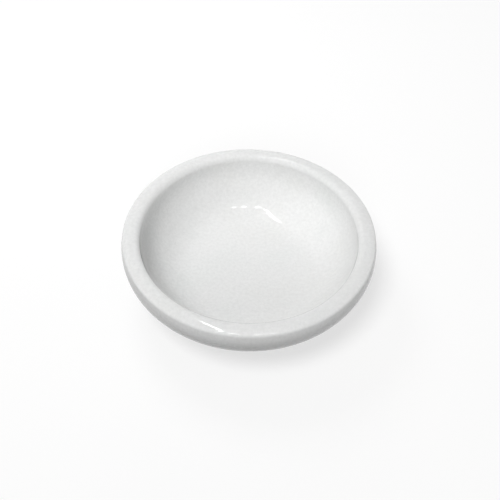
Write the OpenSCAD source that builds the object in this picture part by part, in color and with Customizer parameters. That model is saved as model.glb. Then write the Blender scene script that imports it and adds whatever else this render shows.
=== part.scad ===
// Soy sauce dish: a small porcelain bowl with a heavy rounded lip, glazed inside and out,
// standing on a foot ring whose resting face is left bare.
// Every section is drawn in the half plane of radius (x) and height (y) and turned about the axis.

/* [Dish] */
// Diameter across the lip, over the glaze
rim_d = 90; // [86:1:110]
// Height from the table to the top of the lip
dish_h = 25; // [21:0.5:27]

/* [Lip] */
// Radius of the lip's crown, which slopes outwards from the crest
lip_crown_r = 7; // [6:0.1:8]
// Slope off level at which the crown passes into the lip's outer edge
lip_slope_a = 28; // [24:1:32]
// Radius of the lip's outer edge
lip_outer_r = 1.5; // [1.2:0.1:2]
// Radius of the lip's round on the side of the well
lip_inner_r = 2.4; // [2:0.1:3]

/* [Well] */
// Diameter of the flat floor of the well
well_floor_d = 42; // [34:1:44]
// Thickness of the floor inside the foot ring, over both glazes
floor_t = 4.5; // [3:0.1:6]

/* [Outside wall] */
// Radius of the bulging wall below the lip
wall_r = 11.3; // [10:0.1:15]
// Slope off upright at which the lip's outer edge passes into the wall
wall_start_a = 10; // [0:1:15]

/* [Foot ring] */
// Outside diameter of the foot ring
foot_d = 49; // [40:1:60]
// Width of the foot ring
foot_w = 4; // [3:0.1:6]
// Height at which the line of the underside meets the foot ring
foot_h = 2.2; // [1.8:0.1:4]
// Depth of the recess inside the foot ring
recess_h = 2.2; // [1.8:0.1:3]
// Radius in the corner between the underside and the foot ring
foot_fillet_r = 1.5; // [0.5:0.1:2]
// Radius in the corner of the recess
recess_fillet_r = 1.2; // [0.5:0.1:1.5]
// Radius on the edges of the bare resting face
foot_edge_r = 0.4; // [0.2:0.05:0.5]

/* [Glaze] */
// Thickness of the fired glaze
glaze_t = 0.4; // [0.2:0.05:0.6]
// Height of the foot ring that is wiped bare of glaze
bare_h = 0.6; // [0.5:0.05:0.9]

/* [Hidden] */
$fn = 240;
// The arcs of a section turn by at most this angle from one point to the next
arc_step_a = 4;

// Main radii and levels
rim_r = rim_d / 2;
foot_r = foot_d / 2;
recess_r = foot_r - foot_w;
floor_z = recess_h + floor_t;

// The outside: the lip's crown, its outer edge and the bulging wall, each tangent to the next, and
// the underside, a line from the foot ring that leaves along the wall's tangent. Two tangent arcs
// have their centres in line with the point where they touch.
crown_end_a = 90 - lip_slope_a;
edge_from_crown = (lip_crown_r - lip_outer_r) * ray(crown_end_a);
edge_from_wall = (wall_r - lip_outer_r) * ray(wall_start_a);
lip_outer_centre = [rim_r - wall_r + edge_from_wall.x, dish_h - lip_crown_r + edge_from_crown.y];
lip_crown_centre = lip_outer_centre - edge_from_crown;
wall_centre = lip_outer_centre - edge_from_wall;
foot_corner = [foot_r, foot_h];
wall_end_a = direction(wall_centre, foot_corner) + acos(wall_r / norm(foot_corner - wall_centre));
underside_a = wall_end_a + 90;
foot_fillet_centre = foot_corner
    + foot_fillet_r * [1, (sin(underside_a) - 1) / cos(underside_a)];
recess_fillet_centre = [recess_r, recess_h] - recess_fillet_r * [1, 1];

// The well: a flat floor, a hollow round and the lip's inner round, each tangent to the next.
// The two rounds touch where the line between their centres crosses them, so the distance
// between the centres follows from the well's depth and from its spread outside the floor.
lip_inner_centre = [lip_crown_centre.x, dish_h - lip_inner_r];
well_floor_r = well_floor_d / 2;
well_depth = dish_h - floor_z;
well_spread = lip_inner_centre.x - well_floor_r;
centres_apart = (well_spread ^ 2 + well_depth ^ 2) / (2 * well_depth);
well_r = centres_apart - lip_inner_r;
well_centre = [well_floor_r, floor_z + well_r];
well_end_a = direction(well_centre, lip_inner_centre);

function ray(a) = [cos(a), sin(a)];
function direction(from, to) = atan2(to.y - from.y, to.x - from.x);
function reversed(points) = [for (i = [len(points) - 1:-1:0]) points[i]];

// Points on an arc about a centre, from one direction to another. An arc that carries on from
// the point before it is joined, and leaves its own first point out.
function arc(centre, radius, from_a, to_a, joined = false) =
    let (steps = ceil(abs(to_a - from_a) / arc_step_a))
    [for (i = [joined ? 1 : 0:steps])
        let (a = from_a + (to_a - from_a) * i / steps)
        centre + radius * ray(a)];

// The outer surface and the well as one line, from the foot ring up over the lip to the middle of
// the floor. The inset draws the line into the clay: rounds that bulge get smaller by it and
// hollow ones larger, so two such lines stay the same distance apart all the way.
function outside(inset) = concat(
    arc(foot_fillet_centre, foot_fillet_r + inset, 180, underside_a + 90),
    arc(wall_centre, wall_r - inset, wall_end_a, wall_start_a),
    arc(lip_outer_centre, lip_outer_r - inset, wall_start_a, crown_end_a, joined = true),
    arc(lip_crown_centre, lip_crown_r - inset, crown_end_a, 90, joined = true),
    arc(lip_inner_centre, lip_inner_r - inset, 90, well_end_a + 180, joined = true),
    arc(well_centre, well_r + inset, well_end_a, -90, joined = true),
    [[0, floor_z - inset]]
);

// The recess inside the foot ring, from the middle out, with the same inset
function recess(inset) = concat(
    [[0, recess_h + inset]],
    arc(recess_fillet_centre, recess_fillet_r + inset, 90, 0)
);

// The edge of the bare resting face on the outside of the foot ring, and the one in the recess
function foot_edge() =
    arc([foot_r - glaze_t - foot_edge_r, foot_edge_r], foot_edge_r, -90, 0);
function recess_edge() =
    arc([recess_r + glaze_t + foot_edge_r, foot_edge_r], foot_edge_r, 180, 270);

// The glaze ends in a drawn-in edge above the bare clay, on a side of the foot ring at the given
// radius, and stands out from that side in the direction of out_a
function glaze_edge(side_r, out_a) =
    arc([side_r, bare_h + glaze_t], glaze_t, -90, out_a);

module porcelain_body() {
    color("linen") rotate_extrude()
        polygon(concat(foot_edge(), outside(glaze_t), recess(glaze_t), recess_edge()));
}

module glaze_coat() {
    color("whitesmoke") rotate_extrude()
        polygon(concat(glaze_edge(foot_r - glaze_t, 0), outside(0), reversed(outside(glaze_t))));
}

module base_glaze() {
    color("whitesmoke") rotate_extrude()
        polygon(concat(glaze_edge(recess_r + glaze_t, -180), reversed(recess(0)), recess(glaze_t)));
}

porcelain_body();
glaze_coat();
base_glaze();
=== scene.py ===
"""Soy sauce dish: turned porcelain under a glossy white glaze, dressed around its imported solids."""

import logging
import math
from dataclasses import dataclass
from enum import Enum
from typing import Iterable, Union

import bmesh
import bpy
from mathutils import Euler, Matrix, Quaternion, Vector, noise


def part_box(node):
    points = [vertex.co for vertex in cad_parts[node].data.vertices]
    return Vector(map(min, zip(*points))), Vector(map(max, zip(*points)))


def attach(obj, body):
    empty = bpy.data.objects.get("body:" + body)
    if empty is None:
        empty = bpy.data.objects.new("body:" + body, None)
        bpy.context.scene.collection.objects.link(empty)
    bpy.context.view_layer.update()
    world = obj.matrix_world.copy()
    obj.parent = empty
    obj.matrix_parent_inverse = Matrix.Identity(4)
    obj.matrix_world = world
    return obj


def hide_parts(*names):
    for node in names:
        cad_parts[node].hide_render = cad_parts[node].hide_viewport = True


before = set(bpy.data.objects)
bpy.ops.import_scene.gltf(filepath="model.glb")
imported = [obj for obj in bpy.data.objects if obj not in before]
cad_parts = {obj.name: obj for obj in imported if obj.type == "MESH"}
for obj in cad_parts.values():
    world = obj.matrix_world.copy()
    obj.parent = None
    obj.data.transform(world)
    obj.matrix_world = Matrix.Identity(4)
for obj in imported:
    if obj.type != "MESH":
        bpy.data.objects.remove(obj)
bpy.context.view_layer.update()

log = logging.getLogger("soy_sauce_dish")

MM = 0.001
IMAGE_PX = 500
SENSOR_MM = 36.0
# Directions in a section and turns between them, in degrees
OUT, UP, IN, DOWN = 0, 90, 180, -90
QUARTER_TURN, HALF_TURN, FULL_TURN = 90, 180, 360
# Where the values of a noise pattern mostly lie
MIDDLE_RANGE = (0.3, 0.7)
# Radians by which a wave pattern turns per metre, at a scale of 1
WAVE_TURN = 20

Colour = tuple[float, float, float]

WHITE: Colour = (1.0, 1.0, 1.0)


class Fineness(Enum):
    """Degrees that an arc of a section turns from one point to the next."""

    SHOWN = 2.0
    HIDDEN = 7.5


def ray(angle: float) -> Vector:
    """Returns the unit vector of a direction in a section, in degrees from level."""
    turn = math.radians(angle)
    return Vector((math.cos(turn), math.sin(turn)))


@dataclass(frozen=True)
class Arc:
    """A round stretch of a section, in millimetres and degrees, in the plane of radius and height."""

    centre: Vector
    radius: float
    from_a: float
    to_a: float
    fineness: Fineness = Fineness.SHOWN

    def point(self, angle: float) -> Vector:
        """Returns the point of the arc's circle in that direction from its centre."""
        return self.centre + self.radius * ray(angle)

    @property
    def start(self) -> Vector:
        """The arc's first point."""
        return self.point(self.from_a)

    @property
    def steps(self) -> int:
        """How many edges the arc is drawn with."""
        return max(2, math.ceil(abs(self.to_a - self.from_a) / self.fineness.value))

    def reversed(self) -> "Arc":
        """Returns the same arc, drawn from its other end."""
        return Arc(self.centre, self.radius, self.to_a, self.from_a, self.fineness)


@dataclass(frozen=True)
class Stop:
    """A corner or an end of a section, reached by a straight line, in millimetres."""

    place: Vector

    @property
    def start(self) -> Vector:
        """The stop's own place, so that a line is drawn to it as to an arc."""
        return self.place

    def reversed(self) -> "Stop":
        """Returns the stop itself, which has no direction."""
        return self


Move = Union[Arc, Stop]


def turned_round(moves: Iterable[Move]) -> list[Move]:
    """Returns a section's moves from the last to the first, each drawn from its other end."""
    return [move.reversed() for move in reversed(list(moves))]


def direction(start: Vector, end: Vector) -> float:
    """Returns the direction from one point of a section to another, in degrees."""
    return math.degrees(math.atan2(end.y - start.y, end.x - start.x))


@dataclass
class DishSection:
    """The dish's section as tangent arcs, with the driving sizes of the part in millimetres.

    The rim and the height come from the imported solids. The other sizes repeat the part's own, but
    for the lip's crown and outer edge and the wall, which are refined by up to 0.7 mm.
    """

    rim_r: float
    height: float
    lip_crown_r: float = 8.3
    lip_slope_a: float = 22.0
    lip_outer_r: float = 1.2
    lip_inner_r: float = 2.4
    well_floor_r: float = 21.0
    floor_t: float = 4.5
    wall_r: float = 11.7
    wall_start_a: float = 15.0
    foot_r: float = 24.5
    foot_w: float = 4.0
    foot_h: float = 2.2
    recess_h: float = 2.2
    foot_fillet_r: float = 1.5
    recess_fillet_r: float = 1.2
    foot_edge_r: float = 0.4
    glaze_t: float = 0.4
    bare_h: float = 0.6

    def __post_init__(self) -> None:
        """Works out the centres and directions that make each arc tangent to the next."""
        self.recess_r = self.foot_r - self.foot_w
        self.floor_z = self.recess_h + self.floor_t
        self.crown_end_a = UP - self.lip_slope_a
        from_crown = (self.lip_crown_r - self.lip_outer_r) * ray(self.crown_end_a)
        from_wall = (self.wall_r - self.lip_outer_r) * ray(self.wall_start_a)
        self.lip_outer_centre = Vector((
            self.rim_r - self.wall_r + from_wall.x,
            self.height - self.lip_crown_r + from_crown.y,
        ))
        self.lip_crown_centre = self.lip_outer_centre - from_crown
        self.wall_centre = self.lip_outer_centre - from_wall
        self.lip_inner_centre = Vector((self.lip_crown_centre.x, self.height - self.lip_inner_r))
        depth = self.height - self.floor_z
        spread = self.lip_inner_centre.x - self.well_floor_r
        self.well_r = (spread**2 + depth**2) / (2 * depth) - self.lip_inner_r
        self.well_centre = Vector((self.well_floor_r, self.floor_z + self.well_r))
        self.well_end_a = direction(self.well_centre, self.lip_inner_centre)
        corner = Vector((self.foot_r, self.foot_h))
        to_corner = (corner - self.wall_centre).length
        tangent_a = math.degrees(math.acos(self.wall_r / to_corner))
        self.wall_end_a = direction(self.wall_centre, corner) + tangent_a
        self.underside_a = self.wall_end_a + QUARTER_TURN
        slope = math.radians(self.underside_a)
        lift = (math.sin(slope) - 1) / math.cos(slope)
        self.foot_fillet_centre = corner + self.foot_fillet_r * Vector((1, lift))
        recess_corner = Vector((self.recess_r, self.recess_h))
        self.recess_fillet_centre = recess_corner - self.recess_fillet_r * Vector((1, 1))

    def outside(self, inset: float, fineness: Fineness) -> list[Move]:
        """Draws the outer surface and the well, from the foot ring over the lip to the floor's middle.

        Args:
            inset: how far the line lies inside the fired surface, in millimetres.
            fineness: how closely its arcs are drawn.

        Returns:
            The moves of that line.
        """
        fillet_end_a = self.underside_a + QUARTER_TURN
        edge_r = self.lip_outer_r - inset
        return [
            Arc(self.foot_fillet_centre, self.foot_fillet_r + inset, IN, fillet_end_a, fineness),
            Arc(self.wall_centre, self.wall_r - inset, self.wall_end_a, self.wall_start_a, fineness),
            Arc(self.lip_outer_centre, edge_r, self.wall_start_a, self.crown_end_a, fineness),
            Arc(self.lip_crown_centre, self.lip_crown_r - inset, self.crown_end_a, UP, fineness),
            Arc(self.lip_inner_centre, self.lip_inner_r - inset, UP, self.well_end_a + HALF_TURN, fineness),
            Arc(self.well_centre, self.well_r + inset, self.well_end_a, DOWN, fineness),
            Stop(Vector((0, self.floor_z - inset))),
        ]

    def recess(self, inset: float, fineness: Fineness) -> list[Move]:
        """Draws the recess inside the foot ring, from its middle to the ring's inner side.

        Args:
            inset: how far the line lies inside the fired surface, in millimetres.
            fineness: how closely its arc is drawn.

        Returns:
            The moves of that line.
        """
        return [
            Stop(Vector((0, self.recess_h + inset))),
            Arc(self.recess_fillet_centre, self.recess_fillet_r + inset, UP, OUT, fineness),
        ]

    def glaze_edge(self, side_r: float, out_a: float) -> Arc:
        """Draws the rounded edge of the glaze on one side of the foot ring, just above the bare clay."""
        return Arc(Vector((side_r, self.bare_h + self.glaze_t)), self.glaze_t, DOWN, out_a)

    def clay(self) -> list[Move]:
        """Draws the clay body's whole section, from the floor's middle to the recess's middle.

        Returns:
            The moves of that section.
        """
        inset, edge = self.glaze_t, self.foot_edge_r
        outer_edge = Vector((self.foot_r - inset - edge, edge))
        inner_edge = Vector((self.recess_r + inset + edge, edge))
        foot = [Arc(outer_edge, edge, OUT, DOWN), Arc(inner_edge, edge, DOWN + FULL_TURN, IN)]
        outer = turned_round(self.outside(inset, Fineness.HIDDEN))
        inner = turned_round(self.recess(inset, Fineness.HIDDEN))
        return [*outer, *foot, *inner]

    def under_coat(self) -> list[Move]:
        """Draws the main glaze along the clay, from the floor's middle to the bare foot."""
        return turned_round(self.outside(self.glaze_t, Fineness.HIDDEN))

    def coat(self) -> list[Move]:
        """Draws the main glaze's fired surface, from its edge above the bare foot to the floor's middle."""
        return [self.glaze_edge(self.foot_r - self.glaze_t, OUT), *self.outside(0, Fineness.SHOWN)]

    def under_base(self) -> list[Move]:
        """Draws the recess's glaze along the clay, from the middle to the bare foot."""
        return self.recess(self.glaze_t, Fineness.HIDDEN)

    def base(self) -> list[Move]:
        """Draws the recess's fired glaze, from its edge above the bare foot to the middle."""
        edge = self.glaze_edge(self.recess_r + self.glaze_t, IN - FULL_TURN)
        return [edge, *turned_round(self.recess(0, Fineness.SHOWN))]


@dataclass(frozen=True)
class Ripple:
    """One layer of a glaze's unevenness: how far apart its hollows lie and how deep they are."""

    apart_mm: float
    depth_mm: float

    def depth(self, place: Vector) -> float:
        """Returns how far the surface sinks at a place, in metres, which is never less than nothing."""
        return self.depth_mm * MM * (1 + noise.noise(place / (self.apart_mm * MM))) / 2


class Wheel:
    """A potter's wheel: draws a section edge by edge in the plane y = 0 and turns it about the axis.

    Points of a fired surface are marked, so that a glaze can settle there and stay put on the clay.
    """

    MARK = "fired"
    MARKED_FROM = 0.5
    WEDGES = 16
    WEDGE_STEPS = 16
    LINE_STEP_MM = 1.0
    MERGE = 2e-6

    def __init__(self) -> None:
        """Starts with an empty mesh."""
        self.mesh = bmesh.new()
        self.fired = self.mesh.verts.layers.float.new(self.MARK)
        self.tip: bmesh.types.BMVert | None = None

    @staticmethod
    def place(point: Vector) -> Vector:
        """Returns a section's point, in millimetres, as a place in the scene."""
        return Vector((point.x * MM, 0, point.y * MM))

    def line_to(self, point: Vector) -> None:
        """Draws a straight stretch in short steps, or sets the first point.

        Args:
            point: the stretch's far end, in millimetres.
        """
        goal = self.place(point)
        if self.tip is None:
            self.tip = bmesh.ops.create_vert(self.mesh, co=goal)["vert"][0]
            return
        way = goal - self.tip.co
        if way.length < self.MERGE:
            return
        steps = max(1, round(way.length / (self.LINE_STEP_MM * MM)))
        for _ in range(steps):
            grown = bmesh.ops.extrude_vert_indiv(self.mesh, verts=[self.tip])
            self.tip = grown["verts"][0]
            bmesh.ops.translate(self.mesh, verts=[self.tip], vec=way / steps)

    def arc(self, arc: Arc) -> None:
        """Draws a round stretch by spinning the last point about the arc's centre.

        Args:
            arc: the stretch, which starts where the drawing has come to.
        """
        spun = bmesh.ops.spin(
            self.mesh, geom=[self.tip], cent=self.place(arc.centre), axis=(0, -1, 0),
            angle=math.radians(arc.to_a - arc.from_a), steps=arc.steps,
        )
        self.tip = next(part for part in spun["geom_last"] if isinstance(part, bmesh.types.BMVert))

    def draw(self, moves: Iterable[Move], fired: bool) -> "Wheel":
        """Draws a section's moves one after another.

        Args:
            moves: the section's stretches, in order.
            fired: whether they lie on a fired surface.

        Returns:
            The wheel itself.
        """
        for move in moves:
            self.line_to(move.start)
            self.tip[self.fired] = float(fired)
            if isinstance(move, Arc):
                self.arc(move)
        return self

    def turn(self) -> bmesh.types.BMesh:
        """Turns the drawn section once about the axis and closes the seam and the poles.

        Returns:
            The turned mesh, with its faces pointing outwards.
        """
        wedge = math.tau / self.WEDGES
        bmesh.ops.spin(
            self.mesh, geom=[*self.mesh.verts, *self.mesh.edges], axis=(0, 0, 1),
            angle=wedge, steps=self.WEDGE_STEPS,
        )
        bmesh.ops.spin(
            self.mesh, geom=[*self.mesh.verts, *self.mesh.edges, *self.mesh.faces], axis=(0, 0, 1),
            angle=math.tau - wedge, steps=self.WEDGES - 1, use_duplicate=True,
        )
        bmesh.ops.remove_doubles(self.mesh, verts=self.mesh.verts[:], dist=self.MERGE)
        bmesh.ops.recalc_face_normals(self.mesh, faces=self.mesh.faces[:])
        return self.mesh

    def settle(self, ripples: Iterable[Ripple]) -> None:
        """Draws the fired surface in, unevenly, as a melted glaze lies.

        Args:
            ripples: the layers of unevenness.
        """
        self.mesh.normal_update()
        fired = [vert for vert in self.mesh.verts if vert[self.fired] > self.MARKED_FROM]
        sunk = [sum(ripple.depth(vert.co) for ripple in ripples) for vert in fired]
        for vert, depth in zip(fired, sunk):
            vert.co -= vert.normal * depth


@dataclass(frozen=True)
class Grain:
    """A noise pattern: its patches per millimetre, its finer layers and the strength of those."""

    per_mm: float
    detail: float
    roughness: float


class NodeSheet:
    """The node tree of a material or a world, with short ways to add and join nodes."""

    def __init__(self, owner: Union[bpy.types.Material, bpy.types.World]) -> None:
        """Takes up the nodes of a material or a world."""
        owner.use_nodes = True
        self.tree = owner.node_tree

    @property
    def shader(self) -> bpy.types.Node:
        """A material's main shader."""
        return self.tree.nodes["Principled BSDF"]

    def add(self, kind: str, **settings: object) -> bpy.types.Node:
        """Adds a node and sets its properties and the values of its sockets.

        Args:
            kind: the node's type.
            settings: properties of the node, or values of its sockets with _ for spaces.

        Returns:
            The new node.
        """
        node = self.tree.nodes.new(kind)
        for name, value in settings.items():
            if hasattr(node, name):
                setattr(node, name, value)
            else:
                node.inputs[name.replace("_", " ")].default_value = value
        return node

    def join(self, output: bpy.types.NodeSocket, entry: bpy.types.NodeSocket) -> None:
        """Joins an output to an input."""
        self.tree.links.new(output, entry)

    def place(self) -> bpy.types.NodeSocket:
        """Returns the place on the piece, in its own coordinates."""
        return self.add("ShaderNodeTexCoord").outputs["Object"]

    def seen(self) -> bpy.types.NodeSocket:
        """Returns 1 on the rays that show a thing to the camera, straight, mirrored or through glass."""
        path = self.add("ShaderNodeLightPath").outputs
        return self.total(path["Is Camera Ray"], path["Is Glossy Ray"], path["Is Transmission Ray"])

    def noise(self, grain: Grain) -> bpy.types.NodeSocket:
        """Adds a noise pattern on the piece's own coordinates.

        Args:
            grain: the pattern's sizes.

        Returns:
            The pattern's value.
        """
        node = self.add(
            "ShaderNodeTexNoise", Scale=grain.per_mm / MM, Detail=grain.detail,
            Roughness=grain.roughness,
        )
        self.join(self.place(), node.inputs["Vector"])
        return node.outputs["Fac"]

    def spread(self, value: bpy.types.NodeSocket, low: float, high: float) -> bpy.types.NodeSocket:
        """Spreads a pattern's middle range over two values.

        Args:
            value: the pattern, from 0 to 1.
            low: what its low patches become.
            high: what its high patches become.

        Returns:
            The spread pattern.
        """
        start, end = MIDDLE_RANGE
        node = self.add("ShaderNodeMapRange", From_Min=start, From_Max=end, To_Min=low, To_Max=high)
        self.join(value, node.inputs["Value"])
        return node.outputs["Result"]

    def tinted(self, value: bpy.types.NodeSocket, *tints: Colour) -> bpy.types.NodeSocket:
        """Colours a pattern's middle range, from its low patches to its high ones.

        Args:
            value: the pattern, from 0 to 1.
            tints: the colours, evenly spaced.

        Returns:
            The colour.
        """
        node = self.add("ShaderNodeValToRGB")
        stops = node.color_ramp.elements
        start, end = MIDDLE_RANGE
        while len(stops) < len(tints):
            stops.new((start + end) / 2)
        for index, tint in enumerate(tints):
            stops[index].position = start + (end - start) * index / (len(tints) - 1)
            stops[index].color = (*tint, 1)
        self.join(value, node.inputs["Fac"])
        return node.outputs["Color"]

    def times(self, first: bpy.types.NodeSocket, second: bpy.types.NodeSocket) -> bpy.types.NodeSocket:
        """Multiplies two colours.

        Args:
            first: the one colour.
            second: the other colour.

        Returns:
            Their product.
        """
        node = self.add("ShaderNodeVectorMath", operation="MULTIPLY")
        self.join(first, node.inputs[0])
        self.join(second, node.inputs[1])
        return node.outputs["Vector"]

    def total(self, *values: bpy.types.NodeSocket) -> bpy.types.NodeSocket:
        """Adds values up.

        Args:
            values: the values.

        Returns:
            Their sum.
        """
        sum_so_far = values[0]
        for value in values[1:]:
            node = self.add("ShaderNodeMath", operation="ADD")
            self.join(sum_so_far, node.inputs[0])
            self.join(value, node.inputs[1])
            sum_so_far = node.outputs["Value"]
        return sum_so_far

    def relief(self, height: bpy.types.NodeSocket, depth_mm: float) -> None:
        """Raises and sinks the shader's surface by a pattern.

        Args:
            height: the pattern, from 0 to 1.
            depth_mm: the height of a full step of it.
        """
        node = self.add("ShaderNodeBump", Strength=1.0, Distance=depth_mm * MM)
        self.join(height, node.inputs["Height"])
        self.join(node.outputs["Normal"], self.shader.inputs["Normal"])


@dataclass(frozen=True)
class GlazeFinish:
    """Glossy white glaze: a fine mottle over broad faint clouds, and a skin that isn't quite even."""

    name: str
    white: Colour
    mottle: Colour
    clouds: tuple[Colour, Colour, Colour]
    gloss: tuple[float, float] = (0.04, 0.08)
    peel_mm: float = 0.002
    mottle_grain: Grain = Grain(per_mm=0.9, detail=3, roughness=0.6)
    cloud_grain: Grain = Grain(per_mm=0.05, detail=2, roughness=0.5)
    gloss_grain: Grain = Grain(per_mm=0.15, detail=3, roughness=0.6)
    peel_grain: Grain = Grain(per_mm=0.4, detail=2, roughness=0.4)

    def make(self) -> bpy.types.Material:
        """Builds the glaze's node material.

        Returns:
            The material.
        """
        material = bpy.data.materials.new(self.name)
        sheet = NodeSheet(material)
        grain = sheet.tinted(sheet.noise(self.mottle_grain), self.mottle, self.white)
        clouds = sheet.tinted(sheet.noise(self.cloud_grain), *self.clouds)
        sheet.join(sheet.times(grain, clouds), sheet.shader.inputs["Base Color"])
        gloss = sheet.spread(sheet.noise(self.gloss_grain), *self.gloss)
        sheet.join(gloss, sheet.shader.inputs["Roughness"])
        sheet.relief(sheet.noise(self.peel_grain), self.peel_mm)
        return material


@dataclass(frozen=True)
class BareClayFinish:
    """Matte fired clay, as on a foot ring wiped clean of glaze: grit, turning rings and faint soiling."""

    name: str
    clay: Colour
    grit: Colour
    soiled: Colour
    matte: tuple[float, float] = (0.75, 0.9)
    ring_mm: float = 0.7
    ring_wander: float = 1.5
    ring_detail: float = 1.0
    grit_mm: float = 0.03
    grit_grain: Grain = Grain(per_mm=4.0, detail=3, roughness=0.7)
    soil_grain: Grain = Grain(per_mm=0.25, detail=4, roughness=0.6)

    def make(self) -> bpy.types.Material:
        """Builds the bare clay's node material.

        Returns:
            The material.
        """
        material = bpy.data.materials.new(self.name)
        sheet = NodeSheet(material)
        grain = sheet.noise(self.grit_grain)
        colour = sheet.tinted(grain, self.grit, self.clay)
        soiling = sheet.tinted(sheet.noise(self.soil_grain), self.soiled, WHITE)
        sheet.join(sheet.times(colour, soiling), sheet.shader.inputs["Base Color"])
        sheet.join(sheet.spread(grain, *self.matte), sheet.shader.inputs["Roughness"])
        rings = sheet.add(
            "ShaderNodeTexWave", wave_type="RINGS", rings_direction="Z",
            Scale=math.tau / (WAVE_TURN * self.ring_mm * MM),
            Distortion=self.ring_wander, Detail=self.ring_detail,
        )
        sheet.join(sheet.place(), rings.inputs["Vector"])
        sheet.relief(sheet.total(rings.outputs["Fac"], grain), self.grit_mm)
        return material


@dataclass(frozen=True)
class FloorFinish:
    """Plain pale floor: matte, so that it takes the shadow, and whitened where it is seen or mirrored.

    It throws little light back on the dish, so that the outside wall keeps its shade.
    """

    name: str
    bounce: Colour
    matte: Colour
    glow: Colour

    def make(self) -> bpy.types.Material:
        """Builds the floor's node material.

        Returns:
            The material.
        """
        material = bpy.data.materials.new(self.name)
        sheet = NodeSheet(material)
        seen = sheet.seen()
        sheet.join(sheet.tinted(seen, self.bounce, self.matte), sheet.shader.inputs["Base Color"])
        sheet.join(seen, sheet.shader.inputs["Emission Strength"])
        sheet.shader.inputs["Emission Color"].default_value = (*self.glow, 1)
        sheet.shader.inputs["Roughness"].default_value = 1.0
        sheet.shader.inputs["Specular IOR Level"].default_value = 0.0
        return material


def put(name: str, data: Union[bpy.types.Mesh, bpy.types.Light, bpy.types.Camera]) -> bpy.types.Object:
    """Puts an object into the scene, at the origin.

    Args:
        name: the object's name.
        data: its mesh, lamp or camera.

    Returns:
        The object.
    """
    placed = bpy.data.objects.new(name, data)
    bpy.context.scene.collection.objects.link(placed)
    return placed


@dataclass
class TurnedPiece:
    """One fired layer of the dish, turned from its section and standing for its solid."""

    node: str
    slot: str
    material: bpy.types.Material
    on_clay: list[Move]
    fired: list[Move]
    ripples: tuple[Ripple, ...] = ()

    def build(self) -> None:
        """Turns the piece, lets its glaze settle, dresses it and ties it to the frame."""
        wheel = Wheel().draw(self.on_clay, fired=False).draw(self.fired, fired=True)
        turned = wheel.turn()
        wheel.settle(self.ripples)
        mesh = bpy.data.meshes.new(f"{self.node}_mesh")
        turned.to_mesh(mesh)
        turned.free()
        mesh.attributes.remove(mesh.attributes[Wheel.MARK])
        mesh.shade_smooth()
        mesh.materials.append(self.material)
        piece = put(f"{self.node}_turned", mesh)
        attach(piece, "root")
        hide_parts(self.node)
        log.info("%s: %d faces", piece.name, len(mesh.polygons))


@dataclass
class Dish:
    """The dish: its clay body, its main glaze and the glaze in the recess under it."""

    section: DishSection
    ripples: tuple[Ripple, ...] = (
        Ripple(apart_mm=22.0, depth_mm=0.08),
        Ripple(apart_mm=9.0, depth_mm=0.02),
    )
    glaze: GlazeFinish = GlazeFinish(
        "white_glaze", white=(0.848, 0.852, 0.848), mottle=(0.775, 0.779, 0.775),
        clouds=((0.975, 0.985, 0.98), WHITE, (0.99, 0.99, 0.985)),
    )
    base_glaze: GlazeFinish = GlazeFinish(
        "white_base_glaze", white=(0.82, 0.825, 0.815), mottle=(0.76, 0.765, 0.755),
        clouds=((0.965, 0.975, 0.97), WHITE, (0.985, 0.98, 0.97)), gloss=(0.08, 0.15),
    )
    clay: BareClayFinish = BareClayFinish(
        "bare_porcelain", clay=(0.80, 0.77, 0.70), grit=(0.70, 0.66, 0.58), soiled=(0.86, 0.84, 0.80)
    )

    def build(self) -> None:
        """Builds the pieces from the clay outwards."""
        section = self.section
        body = TurnedPiece("porcelain_body", "bare_porcelain", self.clay.make(), section.clay(), [])
        coat = TurnedPiece(
            "glaze_coat", "white_glaze", self.glaze.make(),
            section.under_coat(), section.coat(), self.ripples,
        )
        base = TurnedPiece(
            "base_glaze", "white_glaze", self.base_glaze.make(),
            section.under_base(), section.base(), self.ripples,
        )
        for piece in (body, coat, base):
            piece.build()


@dataclass(frozen=True)
class SoftLight:
    """A round soft lamp: where it stands as seen from the dish, in degrees and metres, and its level.

    The azimuth runs from the camera's side round to the right. A level of 1 shows a surface that
    faces the lamp in its own colour.
    """

    name: str
    azimuth: float
    elevation: float
    level: float
    distance: float = 20.0
    spread: float = 25.0

    def hang(self) -> None:
        """Hangs the lamp, too diffuse to be mirrored in a glaze and out of the camera's sight."""
        data = bpy.data.lights.new(self.name, "AREA")
        data.shape = "DISK"
        data.size = 2 * self.distance * math.tan(math.radians(self.spread / 2))
        data.energy = self.level * (math.pi * self.distance) ** 2
        light = put(self.name, data)
        turn, tilt = math.radians(self.azimuth), math.radians(self.elevation)
        level_way = Vector((math.sin(turn), -math.cos(turn), 0))
        towards = level_way * math.cos(tilt) + Vector((0, 0, math.sin(tilt)))
        light.location = towards * self.distance
        light.rotation_mode = "QUATERNION"
        light.rotation_quaternion = towards.to_track_quat("Z", "Y")
        light.visible_glossy = False
        light.visible_camera = False


@dataclass(frozen=True)
class CeilingLamp:
    """A flat lamp overhead that shows in the glaze as a gleam, with its place and size in metres."""

    name: str
    middle: tuple[float, float]
    size: tuple[float, float]
    glow: float
    height: float = 2.0

    def hang(self) -> None:
        """Hangs the lamp, facing down, where only the glaze shows it."""
        data = bpy.data.lights.new(self.name, "AREA")
        data.shape = "RECTANGLE"
        data.size, data.size_y = self.size
        data.energy = self.glow * math.pi * data.size * data.size_y
        lamp = put(self.name, data)
        lamp.location = (*self.middle, self.height)
        lamp.visible_diffuse = False
        lamp.visible_camera = False


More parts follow.
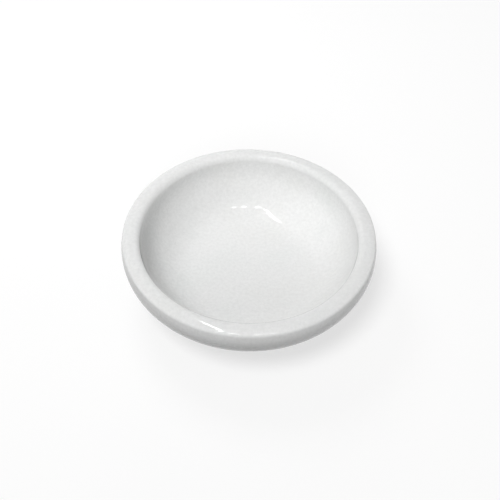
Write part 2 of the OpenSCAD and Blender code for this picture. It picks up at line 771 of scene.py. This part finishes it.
@dataclass
class Studio:
    """Floor, light and camera around the dish."""

    aim_h_mm: float = 22.0
    elevation: float = 47.7
    distance_mm: float = 315.0
    focal_px: float = 892.0
    aim_px: tuple[float, float] = (248.9, 238.2)
    roll: float = 1.1
    clip_m: tuple[float, float] = (0.01, 20.0)
    floor_reach: float = 6.0
    floor_finish: FloorFinish = FloorFinish(
        "pale_floor", bounce=(0.08, 0.08, 0.08), matte=(0.35, 0.35, 0.35), glow=(0.65, 0.65, 0.65)
    )
    room_level: float = 0.11
    backdrop: tuple[Colour, Colour] = (WHITE, (0.4, 0.4, 0.4))
    soft_lights: tuple[SoftLight, ...] = (
        SoftLight("key", azimuth=321, elevation=66, level=0.655),
        SoftLight("front_fill", azimuth=0, elevation=28, level=0.222),
        SoftLight("back_fill", azimuth=214, elevation=50, level=0.225, distance=0.28),
        SoftLight("low_back_fill", azimuth=182, elevation=8, level=0.16),
        SoftLight("low_right_fill", azimuth=92, elevation=2, level=0.17, spread=4.0),
    )
    ceiling_lamps: tuple[CeilingLamp, ...] = (
        CeilingLamp("long_lamp", middle=(-0.30, 0.32), size=(0.07, 0.86), glow=15.0),
        CeilingLamp("left_lamp", middle=(-0.17, -0.25), size=(0.11, 0.14), glow=14.0),
        CeilingLamp("middle_lamp", middle=(0.13, -0.25), size=(0.10, 0.14), glow=14.0),
        CeilingLamp("right_lamp", middle=(0.32, -0.25), size=(0.07, 0.14), glow=14.0),
    )

    def floor(self) -> None:
        """Lays the pale floor."""
        mesh = bpy.data.meshes.new("floor_mesh")
        sheet = bmesh.new()
        bmesh.ops.create_grid(sheet, x_segments=1, y_segments=1, size=self.floor_reach)
        sheet.to_mesh(mesh)
        sheet.free()
        mesh.materials.append(self.floor_finish.make())
        floor = put("floor", mesh)

    def camera(self) -> None:
        """Sets the camera at the photograph's angle."""
        data = bpy.data.cameras.new("camera")
        data.sensor_width = SENSOR_MM
        data.lens = self.focal_px / IMAGE_PX * SENSOR_MM
        data.clip_start, data.clip_end = self.clip_m
        camera = put("camera", data)
        tilt = math.radians(self.elevation)
        back = Vector((0, -math.cos(tilt), math.sin(tilt)))
        camera.location = Vector((0, 0, self.aim_h_mm * MM)) + back * self.distance_mm * MM
        across, down = (px - IMAGE_PX / 2 for px in self.aim_px)
        facing = (-back).to_track_quat("-Z", "Y")
        pan = Euler((math.atan2(down, self.focal_px), math.atan2(across, self.focal_px), 0)).to_quaternion()
        roll = Quaternion((0, 0, 1), math.radians(self.roll))
        camera.rotation_mode = "QUATERNION"
        camera.rotation_quaternion = facing @ pan @ roll
        bpy.context.scene.camera = camera

    def lights(self) -> None:
        """Hangs the lights."""
        for light in (*self.soft_lights, *self.ceiling_lamps):
            light.hang()
            log.info("light: %s", light.name)

    def room(self) -> None:
        """Lets the room glow a little, inside a backdrop, greyer overhead, that is seen or mirrored."""
        world = bpy.data.worlds.new("room")
        bpy.context.scene.world = world
        sheet = NodeSheet(world)
        glow = sheet.tree.nodes["Background"]
        glow.inputs["Color"].default_value = (*WHITE, 1)
        glow.inputs["Strength"].default_value = self.room_level
        backdrop = sheet.add("ShaderNodeBackground")
        upwards = sheet.add("ShaderNodeSeparateXYZ")
        sheet.join(sheet.add("ShaderNodeTexCoord").outputs["Generated"], upwards.inputs["Vector"])
        sheet.join(sheet.tinted(upwards.outputs["Z"], *self.backdrop), backdrop.inputs["Color"])
        both = sheet.add("ShaderNodeMixShader")
        sheet.join(sheet.seen(), both.inputs["Fac"])
        sheet.join(glow.outputs["Background"], both.inputs[1])
        sheet.join(backdrop.outputs["Background"], both.inputs[2])
        sheet.join(both.outputs["Shader"], sheet.tree.nodes["World Output"].inputs["Surface"])

    def build(self) -> None:
        """Sets the studio up."""
        self.floor()
        self.camera()
        self.lights()
        self.room()


def main() -> None:
    """Builds the dish, sized from the top corner of the glaze coat's box, and the studio."""
    logging.basicConfig(level=logging.INFO)
    bpy.context.scene.view_settings.view_transform = "Standard"
    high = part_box("glaze_coat")[1]
    Dish(DishSection(rim_r=high.x / MM, height=high.z / MM)).build()
    Studio().build()


if __name__ == "__main__":
    main()
